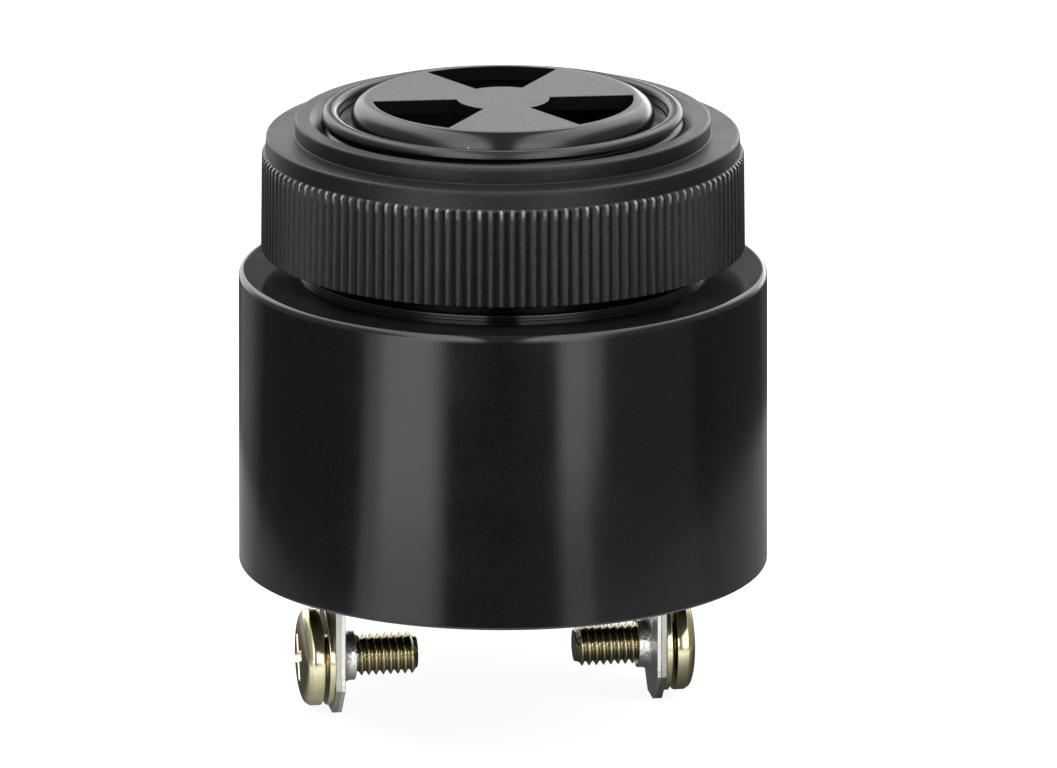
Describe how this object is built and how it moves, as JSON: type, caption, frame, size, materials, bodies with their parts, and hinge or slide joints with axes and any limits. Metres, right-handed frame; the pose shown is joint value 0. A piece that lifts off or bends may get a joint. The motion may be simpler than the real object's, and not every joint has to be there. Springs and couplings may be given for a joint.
{
  "type": "electronic buzzer",
  "caption": "Panel buzzer: round black moulded body with a threaded neck, ribbed ring nut, sector-window grille and screw terminals on tabs under the base.",
  "frame": {"origin": "on the body's axis, in the plane of the shoulder that faces the panel", "axes": "+Z along the axis from the terminals to the grille; the two terminals stand apart along X"},
  "size_m": [0.043, 0.043, 0.0522],
  "materials": {
    "gloss_black": "glossy black moulded plastic",
    "satin_black": "satin black moulded plastic",
    "tab_plate": "tin-plated sheet steel, satin",
    "yellow_zinc": "yellow-passivated zinc plate on steel",
    "soft_mount": "soft silicone",
    "disc_brass": "rolled brass",
    "ceramic": "fired piezo ceramic",
    "silver": "fired silver paste",
    "board": "phenolic laminate",
    "solder": "tin solder",
    "ferrite": "sintered ferrite",
    "copper": "enamelled copper wire",
    "can_sleeve": "shrunk plastic sleeve on an aluminium can",
    "component_body": "moulded epoxy",
    "disc_dip": "dipped resin",
    "resistor_coat": "baked lacquer",
    "wire_red": "insulated wire",
    "wire_blue": "insulated wire",
    "wire_black": "insulated wire"
  },
  "bodies": {
    "root": {"housing": "gloss_black", "front_grille": "gloss_black", "base_cover": "satin_black", "terminal_left": "tab_plate", "terminal_right": "tab_plate", "terminal_washer_left": "yellow_zinc", "terminal_washer_right": "yellow_zinc", "terminal_screw_left": "yellow_zinc", "terminal_screw_right": "yellow_zinc", "diaphragm_mount": "soft_mount", "diaphragm": "disc_brass", "piezo_ceramic": "ceramic", "drive_electrode": "silver", "feedback_electrode": "silver", "disc_solder": "solder", "circuit_board": "board", "board_solder": "solder", "coil_core": "ferrite", "coil_winding": "copper", "electrolytic_capacitor": "can_sleeve", "transistor": "component_body", "ceramic_capacitor": "disc_dip", "resistor_1": "resistor_coat", "resistor_2": "resistor_coat", "resistor_3": "resistor_coat", "diode": "component_body", "lead_drive": "wire_red", "lead_feedback": "wire_blue", "lead_ground": "wire_black"},
    "nut": {"ring_nut": "satin_black"}
  },
  "joints": [
    {"name": "nut_travel", "type": "slide", "parent": "root", "child": "nut", "axis": [0, 0, 1], "range_m": [-0.0013, 0.014]}
  ]
}
